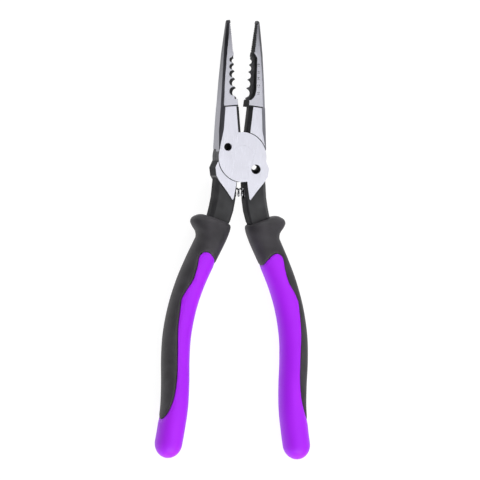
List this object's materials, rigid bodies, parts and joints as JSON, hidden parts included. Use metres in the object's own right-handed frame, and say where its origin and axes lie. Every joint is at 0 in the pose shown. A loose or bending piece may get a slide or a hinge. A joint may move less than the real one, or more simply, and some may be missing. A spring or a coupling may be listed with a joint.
{
  "type": "long-nose pliers",
  "caption": "Long-nose pliers with wire stripping notches, side cutter, shearing holes, lap joint with return spring, and two-colour moulded grips.",
  "frame": {"origin": "on the pivot axis, at the flat back face of the joint", "axes": "+Y towards the jaw tips, +Z out of the front face of the joint, +X towards the right handle"},
  "size_m": [0.078, 0.2142, 0.0176],
  "materials": {
    "forged_steel": "ground bright on the flat faces, black oxide on necks and inner faces",
    "rivet_steel": "ground flush with the joint",
    "spring_steel": "bright drawn wire",
    "purple_plastic": "satin moulded",
    "grey_rubber": "fine moulded texture"
  },
  "bodies": {
    "rear_body": {"rear_half": "forged_steel", "pivot_rivet": "rivet_steel", "return_spring": "spring_steel", "left_grip_core": "purple_plastic", "left_grip_cover": "grey_rubber"},
    "front_body": {"front_half": "forged_steel", "right_grip_core": "purple_plastic", "right_grip_cover": "grey_rubber"}
  },
  "joints": [
    {"name": "jaw_pivot", "type": "hinge", "parent": "rear_body", "child": "front_body", "pos_m": [0, 0, 0], "axis": [0, 0, 1], "range_deg": [-11.5, 14.4], "stiffness_Nm_per_rad": 0.3, "deforming": ["return_spring"]}
  ]
}
